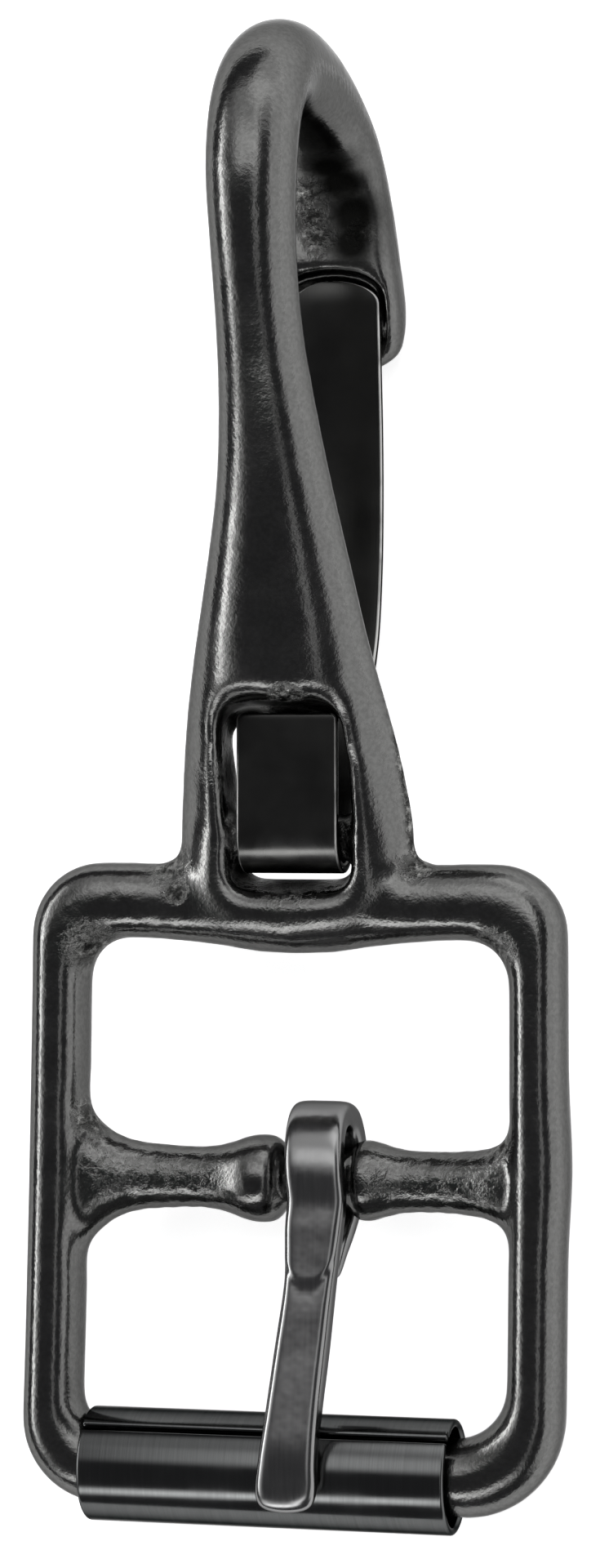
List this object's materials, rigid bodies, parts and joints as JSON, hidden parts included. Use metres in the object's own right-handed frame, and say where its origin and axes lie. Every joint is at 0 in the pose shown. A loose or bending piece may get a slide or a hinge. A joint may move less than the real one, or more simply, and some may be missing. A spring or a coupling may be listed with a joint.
{
  "type": "horse blanket buckle with snap hook and roller",
  "caption": "Strap buckle with a rectangular frame, roller and wrapped tongue, cast in one with a snap hook closed by a leaf spring.",
  "frame": {"origin": "centre of the bounding box on the surface that the buckle lies on, back down", "axes": "+Y from the roller to the hook, +Z out of the front face, +X to the right seen from the front"},
  "size_m": [0.0326, 0.0866, 0.0255],
  "materials": {
    "cast_black_nickel": "malleable iron, tumbled and plated in black nickel, glossy",
    "roller_steel": "rolled steel strip, black nickel plated, fine draw lines",
    "tongue_steel": "stamped steel strip, black nickel plated, glossy",
    "spring_steel": "hardened flat spring steel, black oxide, satin"
  },
  "bodies": {
    "casting": {"casting": "cast_black_nickel"},
    "roller": {"roller": "roller_steel"},
    "tongue": {"tongue": "tongue_steel"},
    "spring": {"spring": "spring_steel"}
  },
  "joints": [
    {"name": "roller_spin", "type": "hinge", "parent": "casting", "child": "roller", "pos_m": [0.0003, -0.0399, 0.00335], "axis": [1, 0, 0], "continuous": true},
    {"name": "tongue_hinge", "type": "hinge", "parent": "casting", "child": "tongue", "pos_m": [0.00163, -0.02247, 0.00464], "axis": [-1, 0, 0], "range_deg": [0, 135]},
    {"name": "gate_hinge", "type": "hinge", "parent": "casting", "child": "spring", "pos_m": [0.0003, -0.00334, 0.00867], "axis": [1, 0, 0], "range_deg": [0, 12], "stiffness_Nm_per_rad": 1.2, "springref_deg": -5.73}
  ]
}
